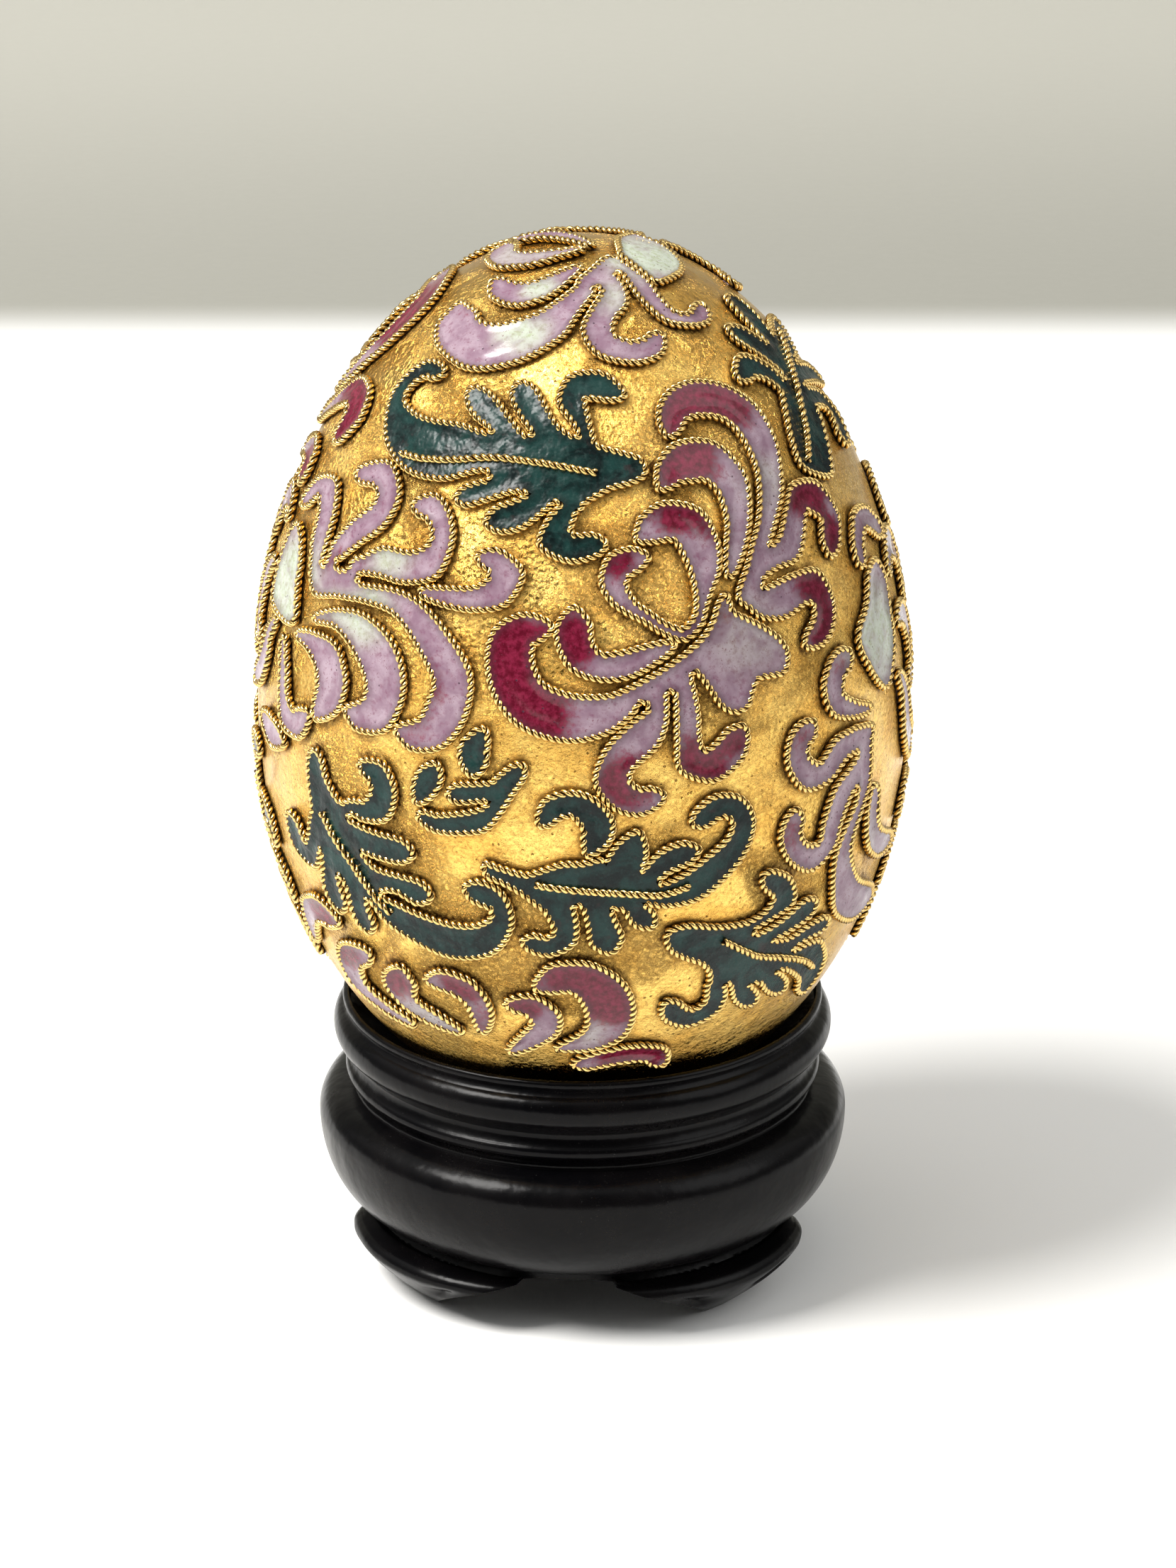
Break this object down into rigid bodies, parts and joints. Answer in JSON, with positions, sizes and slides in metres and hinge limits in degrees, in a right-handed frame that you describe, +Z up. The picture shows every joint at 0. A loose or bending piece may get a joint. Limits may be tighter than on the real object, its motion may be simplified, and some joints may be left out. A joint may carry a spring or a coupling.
{
  "type": "decorated egg on stand",
  "caption": "Hollow gilt-copper egg with raised wire-and-enamel flowers and leaves, resting in the dish of a black lacquered wooden stand with bracket feet.",
  "frame": {"origin": "on the ground, under the middle of the stand's feet", "axes": "+Z up through the egg's poles, -Y the front with the large rose, +X to the viewer's right"},
  "size_m": [0.045, 0.0452, 0.0736],
  "materials": {
    "lacquered_wood": "black lacquer, semi-gloss, slightly worn on the edges",
    "gilt_copper": "gilt, finely textured, brown in the recesses",
    "gilt_wire": "gilt twisted wire, bright on the crests",
    "green_enamel": "glossy enamel, dark green mottled with teal and black",
    "crimson_enamel": "glossy enamel, crimson fading to lilac",
    "lilac_enamel": "glossy enamel, lilac fading to pale green-white"
  },
  "bodies": {
    "stand": {"stand": "lacquered_wood"},
    "egg": {"shell_upper": "gilt_copper", "shell_lower": "gilt_copper", "front_rose_wires": "gilt_wire", "front_left_flower_wires": "gilt_wire", "front_right_flower_wires": "gilt_wire", "front_bottom_flower_wires": "gilt_wire", "front_side_petals_wires": "gilt_wire", "front_sprig_wires": "gilt_wire", "front_leaf_upper_left_wires": "gilt_wire", "front_leaf_upper_right_wires": "gilt_wire", "front_leaf_lower_left_wires": "gilt_wire", "front_leaf_lower_centre_wires": "gilt_wire", "front_leaf_lower_right_wires": "gilt_wire", "back_rose_wires": "gilt_wire", "back_left_flower_wires": "gilt_wire", "back_right_flower_wires": "gilt_wire", "back_bottom_flower_wires": "gilt_wire", "back_sprig_wires": "gilt_wire", "back_leaf_upper_left_wires": "gilt_wire", "back_leaf_lower_left_wires": "gilt_wire", "back_leaf_lower_centre_wires": "gilt_wire", "back_leaf_lower_right_wires": "gilt_wire", "right_side_spray_wires": "gilt_wire", "left_side_spray_wires": "gilt_wire", "back_crown_wires": "gilt_wire", "top_flower_wires": "gilt_wire", "front_rose_enamel": "crimson_enamel", "front_left_flower_enamel": "lilac_enamel", "front_right_flower_enamel": "lilac_enamel", "front_bottom_flower_enamel": "crimson_enamel", "front_side_petals_enamel": "crimson_enamel", "front_sprig_enamel": "green_enamel", "front_leaf_upper_left_enamel": "green_enamel", "front_leaf_upper_right_enamel": "green_enamel", "front_leaf_lower_left_enamel": "green_enamel", "front_leaf_lower_centre_enamel": "green_enamel", "front_leaf_lower_right_enamel": "green_enamel", "back_rose_enamel": "crimson_enamel", "back_left_flower_enamel": "lilac_enamel", "back_right_flower_enamel": "lilac_enamel", "back_bottom_flower_enamel": "crimson_enamel", "back_sprig_enamel": "green_enamel", "back_leaf_upper_left_enamel": "green_enamel", "back_leaf_lower_left_enamel": "green_enamel", "back_leaf_lower_centre_enamel": "green_enamel", "back_leaf_lower_right_enamel": "green_enamel", "right_side_spray_enamel": "lilac_enamel", "left_side_spray_enamel": "lilac_enamel", "back_crown_enamel": "lilac_enamel", "top_flower_enamel": "lilac_enamel"}
  },
  "joints": [
    {"name": "egg_lift", "type": "slide", "parent": "stand", "child": "egg", "axis": [0, 0, 1], "range_m": [0, 0.03]}
  ]
}
